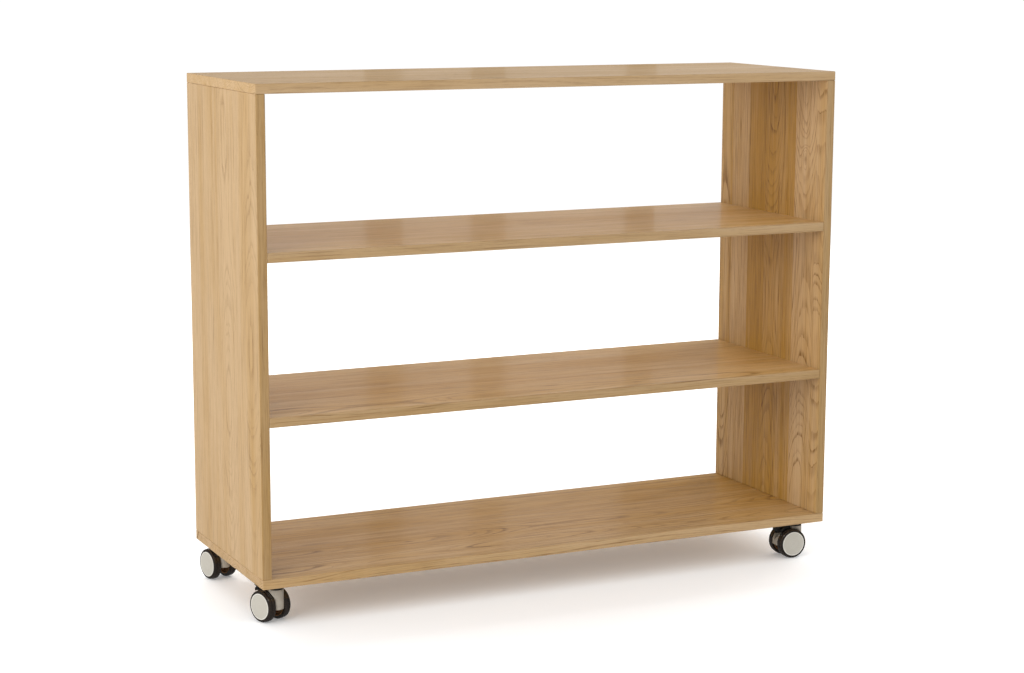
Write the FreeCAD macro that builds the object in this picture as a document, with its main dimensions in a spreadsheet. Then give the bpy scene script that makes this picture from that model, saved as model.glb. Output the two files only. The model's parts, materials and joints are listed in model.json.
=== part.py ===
"""Book cart: an open oak case with two shelves on four twin-wheel swivel castors.

Frame: X along the cart, Y from its front (-Y) to its back (+Y), Z up. The origin is on the
floor, under the middle of the cart. Millimetres and degrees.

Every size in SIZES is a cell of the sheet "Sizes". Every sketch, pad, hole and place below
is bound to those cells, so the document follows when one of them changes.
"""

import FreeCAD, Part
import math
import os

import Sketcher

DOCUMENT_NAME = "BookCart"
PARTS_FOLDER = "parts"

SIZES = {
    # the case
    "cart_length": 1200.0,
    "cart_depth": 400.0,
    "bay_height": 280.0,
    "board_thickness": 18.0,
    "arris_radius": 1.5,
    # dowels: four in each joint, glued
    "dowel_diameter": 8.0,
    "dowel_count": 4,
    "dowel_edge_inset": 45.0,
    "dowel_end_depth": 22.0,
    "dowel_skin": 6.0,
    "dowel_chamfer": 1.0,
    "dowel_end_gap": 1.0,
    "glue_gap": 0.05,
    # where the castors stand, and how each one is turned at rest
    "castor_end_inset": 40.0,
    "castor_side_inset": 43.0,
    "turn_front_left": -69.0,
    "turn_back_left": -76.5,
    "turn_front_right": -2.0,
    "turn_back_right": -40.0,
    # castor: mounting plate, screws, kingpin and swivel bearing
    "wheel_headroom": 15.0,
    "plate_length": 44.0,
    "plate_thickness": 2.5,
    "plate_corner": 5.0,
    "screw_pitch": 32.0,
    "screw_diameter": 4.0,
    "screw_skin": 5.0,
    "screw_tip": 3.0,
    "screw_head_diameter": 7.6,
    "screw_head_height": 2.4,
    "screw_head_round": 1.2,
    "screw_slot_length": 4.6,
    "screw_slot_width": 0.9,
    "screw_slot_depth": 1.3,
    "screw_hole_gap": 0.3,
    "pilot_hole_gap": 0.05,
    "pilot_hole_end_gap": 1.0,
    "kingpin_diameter": 8.0,
    "kingpin_head_diameter": 13.0,
    "kingpin_head_height": 3.0,
    "kingpin_head_gap": 0.3,
    "bearing_diameter": 27.2,
    "bearing_height": 9.5,
    "bearing_groove_depth": 1.0,
    "bearing_groove_height": 1.2,
    "swivel_play": 0.15,
    "running_gap": 0.06,
    "press_gap": 0.02,
    # castor: housing between the wheels
    "trail": 17.0,
    "head_diameter": 28.0,
    "head_bore_depth": 18.0,
    "head_shoulder_round": 1.0,
    "housing_width": 19.0,
    "housing_reach_below_axle": 4.5,
    "housing_back_inset": 1.0,
    "housing_back_slope": 5.0,
    "housing_wall": 2.5,
    "housing_arris": 0.8,
    "cavity_from_axle": 10.0,
    "notch_width": 9.0,
    "notch_depth": 15.0,
    "wheel_clearance": 1.5,
    # castor: wheels
    "wheel_diameter": 60.0,
    "wheel_width": 15.5,
    "wheel_side_gap": 1.0,
    "tyre_section": 5.5,
    "tyre_side_inset": 0.4,
    "tread_band_width": 7.2,
    "tread_round": 1.6,
    "band_round": 0.6,
    "tread_groove_width": 1.2,
    "tread_groove_depth": 1.4,
    "shoulder_drop": 0.5,
    "shoulder_round": 3.6,
    "hub_rim_thickness": 2.0,
    "hub_boss_diameter": 13.0,
    "hub_boss_length": 12.6,
    "hub_web_inset": 6.0,
    "hub_web_thickness": 3.0,
    "hub_ring_inset": 2.68,
    "hub_ring_thickness": 1.4,
    "hub_ring_height": 4.0,
    "hub_side_gap": 0.4,
    "cap_thickness": 1.3,
    "cap_lip_width": 1.9,
    "cap_lip_height": 0.35,
    "cap_spigot_thickness": 1.5,
    "cap_spigot_length": 2.4,
    "cap_round": 0.3,
    "fit_gap": 0.1,
    # castor: axle
    "axle_diameter": 6.0,
    "axle_head_diameter": 9.2,
    "axle_head_height": 1.2,
    "axle_end_play": 0.3,
    # brake of the two front castors
    "brake_pivot_back": 20.0,
    "brake_pivot_drop": 18.0,
    "brake_pin_diameter": 3.0,
    "brake_tongue_width": 14.0,
    "brake_tongue_radius": 4.6,
    "brake_hood_width": 18.6,
    "brake_hood_wall": 2.0,
    "brake_hood_start": 15.2,
    "brake_hood_top": 10.0,
    "brake_hood_depth": 14.0,
    "brake_room_below": 4.0,
    "brake_toe_reach": 4.0,
    "brake_tip_height": 3.0,
    "brake_tip_bevel": 1.5,
    "brake_hood_end_inset": 5.0,
    "brake_hood_tail_rise": 3.0,
    "brake_shoe_width": 32.0,
    "brake_shoe_from_axle": 14.0,
    "brake_shoe_length": 10.0,
    "brake_shoe_step": 1.5,
    "brake_shoe_fall": 3.5,
    "brake_shoe_gap": 3.8,
    "brake_side_gap": 0.3,
    "brake_arris": 0.8,
}

# how a sketch numbers its own origin and upright axis, and the points of a line or a circle
ORIGIN_POINT = -1
VERTICAL_AXIS = -2
START = 1
END = 2
CENTRE = 3

FULL_TURN = 360.0
HALF_TURN = 180
NEAR = 1e-4
NEAR_BOX = 0.01


class Size:
    """A length or angle: its value now, and the expression that ties it to the sheet."""

    def __init__(self, text, value):
        self.text = text
        self.value = value

    @staticmethod
    def of(other):
        return other if isinstance(other, Size) else Size(repr(other), other)

    def __add__(self, other):
        other = Size.of(other)
        return Size(f"({self.text} + {other.text})", self.value + other.value)

    def __sub__(self, other):
        other = Size.of(other)
        return Size(f"({self.text} - {other.text})", self.value - other.value)

    def __mul__(self, other):
        other = Size.of(other)
        return Size(f"({self.text} * {other.text})", self.value * other.value)

    def __truediv__(self, other):
        other = Size.of(other)
        return Size(f"({self.text} / {other.text})", self.value / other.value)

    def __neg__(self):
        return Size(f"(0 - {self.text})", -self.value)


def cosine(angle):
    return Size(f"cos({angle.text} * 1 deg)", math.cos(math.radians(angle.value)))


def sine(angle):
    return Size(f"sin({angle.text} * 1 deg)", math.sin(math.radians(angle.value)))


ZERO = Size("0", 0.0)

doc = FreeCAD.newDocument(DOCUMENT_NAME)
sheet = doc.addObject("Spreadsheet::Sheet", "Sizes")
for row, (alias, number) in enumerate(SIZES.items(), start=1):
    sheet.set(f"A{row}", alias.replace("_", " "))
    sheet.set(f"B{row}", str(number))
    sheet.setAlias(f"B{row}", alias)
doc.recompute()


def cell(alias):
    """The named cell of the sheet as a Size."""
    return Size(f"Sizes.{alias}", float(getattr(sheet, alias)))


# ---------------------------------------------------------------------------
# sketches and features
# ---------------------------------------------------------------------------


def new_body(label):
    body = doc.addObject("PartDesign::Body", label)
    body.Label = label
    body.AllowCompound = True
    return body


def attach(sketch, body, role, offset):
    """Put a sketch on one of its body's origin planes, moved along the plane's normal."""
    plane = next(f for f in body.Origin.OriginFeatures if f.Role == role)
    sketch.AttachmentSupport = [(plane, "")]
    sketch.MapMode = "FlatFace"
    sketch.AttachmentOffset = FreeCAD.Placement(
        FreeCAD.Vector(0, 0, offset.value), FreeCAD.Rotation()
    )
    sketch.setExpression("AttachmentOffset.Base.z", offset.text)


def pin_point(sketch, geometry, position, x, y):
    """Hold one point of a sketch at (x, y) from the sketch's origin."""
    for kind, size in (("DistanceX", x), ("DistanceY", y)):
        if size is ZERO:
            axis = VERTICAL_AXIS if kind == "DistanceX" else ORIGIN_POINT
            sketch.addConstraint(Sketcher.Constraint("PointOnObject", geometry, position, axis))
            continue
        number = sketch.addConstraint(
            Sketcher.Constraint(kind, ORIGIN_POINT, START, geometry, position, size.value)
        )
        sketch.setExpression(f"Constraints[{number}]", size.text)


def outline(body, role, corners, offset=ZERO):
    """A closed outline of straight edges through the corners, each (x, y) bound to the sheet."""
    sketch = body.newObject("Sketcher::SketchObject", "outline")
    attach(sketch, body, role, offset)
    points = [FreeCAD.Vector(x.value, y.value, 0) for x, y in corners]
    for start, end in zip(points, points[1:] + points[:1]):
        sketch.addGeometry(Part.LineSegment(start, end))
    for index, (x, y) in enumerate(corners):
        before = (index - 1) % len(corners)
        sketch.addConstraint(Sketcher.Constraint("Coincident", before, END, index, START))
        pin_point(sketch, index, START, x, y)
    return sketch


def circles(body, role, centres, radius, offset=ZERO):
    """Circles of one radius about each centre, bound to the sheet."""
    sketch = body.newObject("Sketcher::SketchObject", "circles")
    attach(sketch, body, role, offset)
    for index, (x, y) in enumerate(centres):
        centre = FreeCAD.Vector(x.value, y.value, 0)
        sketch.addGeometry(Part.Circle(centre, FreeCAD.Vector(0, 0, 1), radius.value))
        number = sketch.addConstraint(Sketcher.Constraint("Radius", index, radius.value))
        sketch.setExpression(f"Constraints[{number}]", radius.text)
        pin_point(sketch, index, CENTRE, x, y)
    return sketch


def rectangle(low_x, low_y, high_x, high_y):
    return [(low_x, low_y), (high_x, low_y), (high_x, high_y), (low_x, high_y)]


def pad(body, sketch, length, middle=False, backwards=False):
    """Extrude a sketch along its normal, about its plane, or against its normal."""
    feature = body.newObject("PartDesign::Pad", "pad")
    feature.Profile = sketch
    feature.Length = length.value
    feature.setExpression("Length", length.text)
    feature.Midplane = middle
    feature.Reversed = backwards
    doc.recompute()
    return feature


def pocket(body, sketch, depth, along_normal=False, middle=False):
    """Cut a sketch into the body, against the sketch's normal unless told otherwise."""
    before = body.Shape.Volume
    feature = body.newObject("PartDesign::Pocket", "pocket")
    feature.Profile = sketch
    feature.Length = depth.value
    feature.setExpression("Length", depth.text)
    feature.Midplane = middle
    feature.Reversed = along_normal
    doc.recompute()
    if body.Shape.Volume > before - NEAR:
        raise RuntimeError(f"a pocket of {body.Label} cuts nothing")
    return feature


def revolve(body, sketch, axis):
    """A full turn of a sketch about its own vertical (V_Axis) or level (H_Axis) axis."""
    feature = body.newObject("PartDesign::Revolution", "turned")
    feature.Profile = sketch
    feature.ReferenceAxis = (sketch, [axis])
    feature.Angle = FULL_TURN
    doc.recompute()
    return feature


def fillet(body, radius, wanted):
    """Round the edges of the body for which wanted(edge) is true."""
    tip = body.Tip
    names = [f"Edge{n}" for n, edge in enumerate(tip.Shape.Edges, start=1) if wanted(edge)]
    if not names:
        raise RuntimeError(f"no edge of {body.Label} to round")
    feature = body.newObject("PartDesign::Fillet", "rounded")
    feature.Base = (tip, names)
    feature.Radius = radius.value
    feature.setExpression("Radius", radius.text)
    doc.recompute()
    return feature


def repeat(body, axis_role, length, count):
    """Repeat the whole body so far along one of its axes, count times over length."""
    before = body.Shape.Volume
    feature = body.newObject("PartDesign::LinearPattern", "repeated")
    feature.TransformMode = "Whole shape"
    axis = next(f for f in body.Origin.OriginFeatures if f.Role == axis_role)
    feature.Direction = (axis, [""])
    feature.Length = length.value
    feature.setExpression("Length", length.text)
    feature.Occurrences = int(count.value)
    feature.setExpression("Occurrences", count.text)
    body.Tip = feature
    doc.recompute()
    if abs(body.Shape.Volume - before * count.value) > NEAR * before:
        raise RuntimeError(f"{body.Label} is not {count.value} times its first piece")
    return feature


def place(body, x, y, z, turn=ZERO):
    """Stand the body at (x, y, z), turned about the vertical."""
    body.Placement = FreeCAD.Placement(
        FreeCAD.Vector(x.value, y.value, z.value),
        FreeCAD.Rotation(FreeCAD.Vector(0, 0, 1), 0),
    )
    body.setExpression("Placement.Base.x", x.text)
    body.setExpression("Placement.Base.y", y.text)
    body.setExpression("Placement.Base.z", z.text)
    body.setExpression("Placement.Rotation.Angle", turn.text)


def is_flat_ring(low, high, across, place, radius):
    """Whether an edge's box is flat at a place and as wide as a circle of the radius."""
    flat = abs(low - place.value) < NEAR_BOX and abs(high - place.value) < NEAR_BOX
    return flat and abs(across - radius.value * 2) < NEAR_BOX


def circle_along_y(radius, along):
    """A test for the whole circular edge of this radius that stands this far along Y."""

    def wanted(edge):
        box = edge.BoundBox
        return is_flat_ring(box.YMin, box.YMax, box.XLength, along, radius)

    return wanted


def circle_at_height(radius, height):
    """A test for the whole circular edge of this radius that lies at this height."""

    def wanted(edge):
        box = edge.BoundBox
        return is_flat_ring(box.ZMin, box.ZMax, box.XLength, height, radius)

    return wanted


def is_upright(edge):
    box = edge.BoundBox
    return box.XLength < NEAR and box.YLength < NEAR


def every_edge(edge):
    return True


# ---------------------------------------------------------------------------
# sizes that several pieces share
# ---------------------------------------------------------------------------

length = cell("cart_length")
depth = cell("cart_depth")
thickness = cell("board_thickness")
bay = cell("bay_height")
arris = cell("arris_radius")
case_bottom = cell("wheel_diameter") + cell("wheel_headroom")
side_height = bay * 3 + thickness * 2
side_middle = length / 2 - thickness / 2
side_bottom = case_bottom + thickness
side_top = side_bottom + side_height
shelf_length = length - thickness * 2
shelf_pitch = bay + thickness
first_shelf = side_bottom + bay

dowel_radius = cell("dowel_diameter") / 2
dowel_hole_radius = dowel_radius + cell("glue_gap")
dowel_face_depth = thickness - cell("dowel_skin")
dowel_end_depth = cell("dowel_end_depth")
dowel_half = (dowel_face_depth + dowel_end_depth) / 2 - cell("dowel_end_gap")
dowel_shift = (dowel_end_depth - dowel_face_depth) / 2
dowel_count = cell("dowel_count")
dowel_row = depth - cell("dowel_edge_inset") * 2
dowel_step = dowel_row / (dowel_count - 1)
dowel_places = [dowel_step * n - dowel_row / 2 for n in range(int(dowel_count.value))]

kingpin_x = length / 2 - cell("castor_end_inset")
kingpin_y = depth / 2 - cell("castor_side_inset")
screw_pitch = cell("screw_pitch")
screw_radius = cell("screw_diameter") / 2
screw_engagement = thickness - cell("screw_skin")

plate_thickness = cell("plate_thickness")
bearing_foot = plate_thickness + cell("bearing_height")
head_top = bearing_foot + cell("swivel_play")
head_radius = cell("head_diameter") / 2
kingpin_radius = cell("kingpin_diameter") / 2
kingpin_head_radius = cell("kingpin_head_diameter") / 2
bore_floor = head_top + cell("head_bore_depth")

hood_top = cell("brake_hood_top")
hood_foot = hood_top + cell("brake_hood_depth")
wheel_radius = cell("wheel_diameter") / 2
trail = cell("trail")
axle_drop = case_bottom - wheel_radius
axle_radius = cell("axle_diameter") / 2
half_housing = cell("housing_width") / 2
housing_foot = axle_drop + cell("housing_reach_below_axle")
housing_shoulder = hood_foot + cell("brake_room_below")
housing_back = trail + wheel_radius - cell("housing_back_inset")
housing_wall = cell("housing_wall")
cavity_front = trail + cell("cavity_from_axle")

wheel_inner = half_housing + cell("wheel_side_gap")
wheel_outer = wheel_inner + cell("wheel_width")
tyre_inner = wheel_inner + cell("tyre_side_inset")
tyre_outer = wheel_outer - cell("tyre_side_inset")
tyre_bore = wheel_radius - cell("tyre_section")
hub_radius = tyre_bore - cell("press_gap")
hub_rim_inside = hub_radius - cell("hub_rim_thickness")
hub_boss_start = half_housing + cell("hub_side_gap")
hub_boss_end = hub_boss_start + cell("hub_boss_length")
cap_radius = hub_radius - cell("fit_gap")
cap_face = wheel_outer - cell("cap_lip_height")
cap_back = cap_face - cell("cap_thickness")
axle_head_start = hub_boss_end + cell("axle_end_play")
axle_end = axle_head_start + cell("axle_head_height")

pivot_back = cell("brake_pivot_back")
pivot_drop = cell("brake_pivot_drop")
brake_pin_radius = cell("brake_pin_diameter") / 2
hood_start = cell("brake_hood_start")
hood_wall = cell("brake_hood_wall")
toe = trail + wheel_radius + cell("brake_toe_reach")
hood_end = toe - cell("brake_hood_end_inset")
tongue_radius = cell("brake_tongue_radius")


# ---------------------------------------------------------------------------
# the case: six boards and their dowels
# ---------------------------------------------------------------------------


def lying_board(label, board_length, bottom):
    """A board from end to end along X, its underside at the given height, arrises rounded."""
    body = new_body(label)
    corners = rectangle(-(board_length / 2), -(depth / 2), board_length / 2, depth / 2)
    pad(body, outline(body, "XY_Plane", corners), thickness)
    fillet(body, arris, every_edge)
    place(body, ZERO, ZERO, bottom)
    return body


def over_the_sides():
    """The dowel places in the top and bottom boards, seen from above."""
    return [(x, y) for x in (-side_middle, side_middle) for y in dowel_places]


def make_top_board():
    body = lying_board("top_board", length, side_top)
    holes = circles(body, "XY_Plane", over_the_sides(), dowel_hole_radius)
    pocket(body, holes, dowel_face_depth, along_normal=True)


def make_bottom_board():
    """Dowel holes in its upper face, and pilot holes for the castors' screws below."""
    body = lying_board("bottom_board", length, case_bottom)
    holes = circles(body, "XY_Plane", over_the_sides(), dowel_hole_radius, thickness)
    pocket(body, holes, dowel_face_depth)
    half = screw_pitch / 2
    pilots = [
        (kingpin_x * end + half * across, kingpin_y * face + half * along)
        for end in (-1, 1)
        for face in (-1, 1)
        for across in (-1, 1)
        for along in (-1, 1)
    ]
    holes = circles(body, "XY_Plane", pilots, screw_radius + cell("pilot_hole_gap"))
    pocket(body, holes, screw_engagement + cell("pilot_hole_end_gap"), along_normal=True)


def make_shelf(label, bottom):
    """A shelf between the sides, with dowel holes in both ends."""
    body = lying_board(label, shelf_length, bottom)
    centres = [(y, thickness / 2) for y in dowel_places]
    for end, inwards in ((-(shelf_length / 2), True), (shelf_length / 2, False)):
        holes = circles(body, "YZ_Plane", centres, dowel_hole_radius, end)
        pocket(body, holes, dowel_end_depth, along_normal=inwards)


def make_side(label, low_x, inner_face, cut_along_x):
    """A side standing on the bottom board, with holes in its ends and its inner face."""
    body = new_body(label)
    corners = rectangle(-(depth / 2), ZERO, depth / 2, side_height)
    pad(body, outline(body, "YZ_Plane", corners), thickness)
    fillet(body, arris, every_edge)
    ends = [(thickness / 2, y) for y in dowel_places]
    holes = circles(body, "XY_Plane", ends, dowel_hole_radius)
    pocket(body, holes, dowel_end_depth, along_normal=True)
    holes = circles(body, "XY_Plane", ends, dowel_hole_radius, side_height)
    pocket(body, holes, dowel_end_depth)
    shelf_middles = (bay + thickness / 2, bay + thickness / 2 + shelf_pitch)
    faces = [(y, z) for z in shelf_middles for y in dowel_places]
    holes = circles(body, "YZ_Plane", faces, dowel_hole_radius, inner_face)
    pocket(body, holes, dowel_face_depth, along_normal=cut_along_x)
    place(body, low_x, ZERO, side_bottom)


def dowel_outline(body, role, along_first):
    """Half of a dowel's section: its chamfered length, about the middle, and its radius."""
    chamfer = cell("dowel_chamfer")
    corners = [
        (ZERO, -dowel_half),
        (dowel_radius - chamfer, -dowel_half),
        (dowel_radius, chamfer - dowel_half),
        (dowel_radius, dowel_half - chamfer),
        (dowel_radius - chamfer, dowel_half),
        (ZERO, dowel_half),
    ]
    if along_first:
        corners = [(along, radius) for radius, along in corners]
    return outline(body, role, corners)


def make_case_dowels():
    """Upright dowels that join both sides to the top and bottom boards."""
    body = new_body("case_dowels")
    revolve(body, dowel_outline(body, "XZ_Plane", along_first=False), "V_Axis")
    repeat(body, "Y_Axis", dowel_row, dowel_count)
    repeat(body, "X_Axis", side_middle * 2, Size.of(2))
    repeat(body, "Z_Axis", side_height - dowel_shift * 2, Size.of(2))
    place(body, -side_middle, -(dowel_row / 2), side_bottom + dowel_shift)


def make_shelf_dowels():
    """Level dowels that join both ends of each shelf to the sides."""
    body = new_body("shelf_dowels")
    revolve(body, dowel_outline(body, "XZ_Plane", along_first=True), "H_Axis")
    repeat(body, "Y_Axis", dowel_row, dowel_count)
    repeat(body, "X_Axis", shelf_length - dowel_shift * 2, Size.of(2))
    repeat(body, "Z_Axis", shelf_pitch, Size.of(2))
    first_x = dowel_shift - shelf_length / 2
    place(body, first_x, -(dowel_row / 2), first_shelf + thickness / 2)


def make_case():
    make_top_board()
    make_bottom_board()
    make_side("left_side", -(length / 2), thickness, cut_along_x=False)
    make_side("right_side", length / 2 - thickness, ZERO, cut_along_x=True)
    make_shelf("lower_shelf", first_shelf)
    make_shelf("upper_shelf", first_shelf + shelf_pitch)
    make_case_dowels()
    make_shelf_dowels()


# ---------------------------------------------------------------------------
# the castors
#
# A castor's own frame: the kingpin is the Z axis, the case's underside is Z = 0, the solid
# front of the housing faces +X, and the wheels trail towards -X on an axle along Y.
# ---------------------------------------------------------------------------


class Castor:
    """Where one castor stands under the case, how it is turned, and its pieces' places."""

    def __init__(self, name, end, face, braked):
        self.name = name
        self.x = kingpin_x * end
        self.y = kingpin_y * face
        self.turn = cell(f"turn_{name}")
        self.braked = braked

    def body(self, piece):
        return new_body(f"{self.name}_{piece}")

    def fix(self, body):
        """Place a piece that stays with the case."""
        place(body, self.x, self.y, case_bottom)

    def swivel(self, body):
        """Place a piece that turns about the kingpin."""
        place(body, self.x, self.y, case_bottom, self.turn)

    def roll(self, body, half_turn):
        """Place a piece whose own Y axis is the axle, on either side of the housing."""
        x = self.x - trail * cosine(self.turn)
        y = self.y - trail * sine(self.turn)
        place(body, x, y, wheel_radius, self.turn + half_turn)


def make_plate(castor):
    """Mounting plate with a hole for the kingpin and four for the screws."""
    body = castor.body("mounting_plate")
    half = cell("plate_length") / 2
    square = outline(body, "XY_Plane", rectangle(-half, -half, half, half))
    pad(body, square, plate_thickness, backwards=True)
    fillet(body, cell("plate_corner"), is_upright)
    centre = circles(body, "XY_Plane", [(ZERO, ZERO)], kingpin_radius + cell("press_gap"))
    pocket(body, centre, plate_thickness)
    offset = screw_pitch / 2
    places = rectangle(-offset, -offset, offset, offset)
    holes = circles(body, "XY_Plane", places, screw_radius + cell("screw_hole_gap"))
    pocket(body, holes, plate_thickness)
    castor.fix(body)


def make_screws(castor):
    """Four pan-head wood screws with cross recesses, driven up through the plate."""
    body = castor.body("plate_screws")
    screw_head_radius = cell("screw_head_diameter") / 2
    head_foot = plate_thickness + cell("screw_head_height")
    corners = [
        (ZERO, screw_engagement),
        (screw_radius, screw_engagement - cell("screw_tip")),
        (screw_radius, -plate_thickness),
        (screw_head_radius, -plate_thickness),
        (screw_head_radius, -head_foot),
        (ZERO, -head_foot),
    ]
    revolve(body, outline(body, "XZ_Plane", corners), "V_Axis")
    rim = circle_at_height(screw_head_radius, -head_foot)
    fillet(body, cell("screw_head_round"), rim)
    half_long = cell("screw_slot_length") / 2
    half_wide = cell("screw_slot_width") / 2
    for half_x, half_y in ((half_long, half_wide), (half_wide, half_long)):
        slot = outline(body, "XY_Plane", rectangle(-half_x, -half_y, half_x, half_y), -head_foot)
        pocket(body, slot, cell("screw_slot_depth"), along_normal=True)
    repeat(body, "X_Axis", screw_pitch, Size.of(2))
    repeat(body, "Y_Axis", screw_pitch, Size.of(2))
    place(body, castor.x - screw_pitch / 2, castor.y - screw_pitch / 2, case_bottom)


def make_kingpin(castor):
    """Pin riveted in the plate, its head holding the housing up from inside."""
    body = castor.body("kingpin")
    head_start = bore_floor + cell("swivel_play")
    head_foot = head_start + cell("kingpin_head_height")
    corners = [
        (ZERO, ZERO),
        (kingpin_radius, ZERO),
        (kingpin_radius, -head_start),
        (kingpin_head_radius, -head_start),
        (kingpin_head_radius, -head_foot),
        (ZERO, -head_foot),
    ]
    revolve(body, outline(body, "XZ_Plane", corners), "V_Axis")
    castor.fix(body)


def make_bearing(castor):
    """Ball race between plate and housing: two cups with a groove between them."""
    body = castor.body("swivel_bearing")
    outside = cell("bearing_diameter") / 2
    inside = kingpin_radius + cell("press_gap")
    waist = outside - cell("bearing_groove_depth")
    middle = (plate_thickness + bearing_foot) / 2
    half_groove = cell("bearing_groove_height") / 2
    corners = [
        (inside, -plate_thickness),
        (outside, -plate_thickness),
        (outside, half_groove - middle),
        (waist, half_groove - middle),
        (waist, -middle - half_groove),
        (outside, -middle - half_groove),
        (outside, -bearing_foot),
        (inside, -bearing_foot),
    ]
    revolve(body, outline(body, "XZ_Plane", corners), "V_Axis")
    castor.fix(body)


def cut_wheel_room(body):
    """Cut the housing back from both wheels, outside its own width."""
    centre = [(-trail, -axle_drop)]
    radius = wheel_radius + cell("wheel_clearance")
    for offset, towards_front_face in ((half_housing, True), (-half_housing, False)):
        room = circles(body, "XZ_Plane", centre, radius, offset)
        pocket(body, room, head_radius, along_normal=towards_front_face)


def make_housing(castor):
    """Round head and flat body between the wheels, hollow and notched at the back."""
    body = castor.body("housing")
    slope = cell("housing_back_slope")
    corners = [
        (ZERO, -housing_foot),
        (ZERO, -housing_shoulder),
        (slope - housing_back, -housing_shoulder),
        (-housing_back, -housing_shoulder - slope - slope),
        (-housing_back, -housing_foot),
    ]
    side_view = outline(body, "XZ_Plane", corners)
    pad(body, side_view, cell("housing_width"), middle=True)
    fillet(body, cell("housing_arris"), lambda edge: edge.BoundBox.XMax < -NEAR)
    head = circles(body, "XY_Plane", [(ZERO, ZERO)], head_radius, -head_top)
    pad(body, head, housing_foot - head_top, backwards=True)
    fillet(body, cell("head_shoulder_round"), circle_at_height(head_radius, -head_top))
    if castor.braked:
        add_brake_tongue(body)
    cut_wheel_room(body)
    pin = circles(
        body, "XY_Plane", [(ZERO, ZERO)], kingpin_radius + cell("running_gap"), -head_top
    )
    pocket(body, pin, cell("head_bore_depth"))
    head_room = kingpin_head_radius + cell("kingpin_head_gap")
    below = circles(body, "XY_Plane", [(ZERO, ZERO)], head_room, -housing_foot)
    pocket(body, below, housing_foot - bore_floor, along_normal=True)
    axle_place = [(-trail, -axle_drop)]
    axle_hole = circles(body, "XZ_Plane", axle_place, axle_radius + cell("press_gap"))
    pocket(body, axle_hole, cell("housing_width") * 2, middle=True)
    side_y = half_housing - housing_wall
    cavity = rectangle(housing_wall - housing_back, -side_y, -cavity_front, side_y)
    hollow = outline(body, "XY_Plane", cavity, -housing_shoulder)
    pocket(body, hollow, housing_foot - housing_shoulder)
    half_notch = cell("notch_width") / 2
    notch = [
        (-half_notch, -housing_shoulder),
        (half_notch, -housing_shoulder),
        (ZERO, -housing_shoulder - cell("notch_depth")),
    ]
    back_view = outline(body, "YZ_Plane", notch, housing_wall * 2 - housing_back)
    pocket(body, back_view, housing_wall * 2)
    castor.swivel(body)


def add_brake_tongue(body):
    """The upright tongue that the brake's pin goes through."""
    width = cell("brake_tongue_width")
    low = rectangle(
        -pivot_back - tongue_radius,
        -housing_shoulder - housing_wall,
        tongue_radius - pivot_back,
        -pivot_drop,
    )
    pad(body, outline(body, "XZ_Plane", low), width, middle=True)
    pivot = [(-pivot_back, -pivot_drop)]
    pad(body, circles(body, "XZ_Plane", pivot, tongue_radius), width, middle=True)
    pin_hole = circles(body, "XZ_Plane", pivot, brake_pin_radius + cell("running_gap"))
    pocket(body, pin_hole, width * 2, middle=True)


def make_axle(castor):
    """Steel axle through the housing and both hubs, headed at both ends."""
    body = castor.body("axle")
    head = cell("axle_head_diameter") / 2
    corners = [
        (ZERO, -axle_end),
        (head, -axle_end),
        (head, -axle_head_start),
        (axle_radius, -axle_head_start),
        (axle_radius, axle_head_start),
        (head, axle_head_start),
        (head, axle_end),
        (ZERO, axle_end),
    ]
    revolve(body, outline(body, "XY_Plane", corners), "V_Axis")
    castor.roll(body, 0)


def make_hub(castor, wheel, half_turn):
    """Moulded hub: boss on the axle, web, ring, and the rim that carries the tyre."""
    body = castor.body(f"{wheel}_hub")
    bore = axle_radius + cell("running_gap")
    boss = cell("hub_boss_diameter") / 2
    ring = hub_rim_inside - cell("hub_ring_inset")
    ring_inside = ring - cell("hub_ring_thickness")
    web_inner = wheel_inner + cell("hub_web_inset")
    web_outer = web_inner + cell("hub_web_thickness")
    ring_edge = web_inner - cell("hub_ring_height")
    corners = [
        (bore, hub_boss_start),
        (boss, hub_boss_start),
        (boss, web_inner),
        (ring_inside, web_inner),
        (ring_inside, ring_edge),
        (ring, ring_edge),
        (ring, web_inner),
        (hub_rim_inside, web_inner),
        (hub_rim_inside, tyre_inner),
        (hub_radius, tyre_inner),
        (hub_radius, cap_back),
        (hub_rim_inside, cap_back),
        (hub_rim_inside, web_outer),
        (boss, web_outer),
        (boss, hub_boss_end),
        (bore, hub_boss_end),
    ]
    revolve(body, outline(body, "XY_Plane", corners), "V_Axis")
    castor.roll(body, half_turn)


def make_tyre(castor, wheel, half_turn):
    """Tyre with a flat band, a groove, and a smaller band that rounds into its outer face."""
    body = castor.body(f"{wheel}_tyre")
    groove = cell("tread_groove_depth")
    groove_floor = wheel_radius - groove
    shoulder = wheel_radius - cell("shoulder_drop")
    band_end = tyre_inner + cell("tread_band_width")
    groove_start = band_end + groove / 2
    groove_end = groove_start + cell("tread_groove_width")
    shoulder_start = groove_end + groove / 2
    corners = [
        (tyre_bore, tyre_inner),
        (wheel_radius, tyre_inner),
        (wheel_radius, band_end),
        (groove_floor, groove_start),
        (groove_floor, groove_end),
        (shoulder, shoulder_start),
        (shoulder, tyre_outer),
        (tyre_bore, tyre_outer),
    ]
    revolve(body, outline(body, "XY_Plane", corners), "V_Axis")
    fillet(body, cell("tread_round"), circle_along_y(wheel_radius, tyre_inner))
    fillet(body, cell("band_round"), circle_along_y(wheel_radius, band_end))
    fillet(body, cell("shoulder_round"), circle_along_y(shoulder, tyre_outer))
    castor.roll(body, half_turn)


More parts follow.
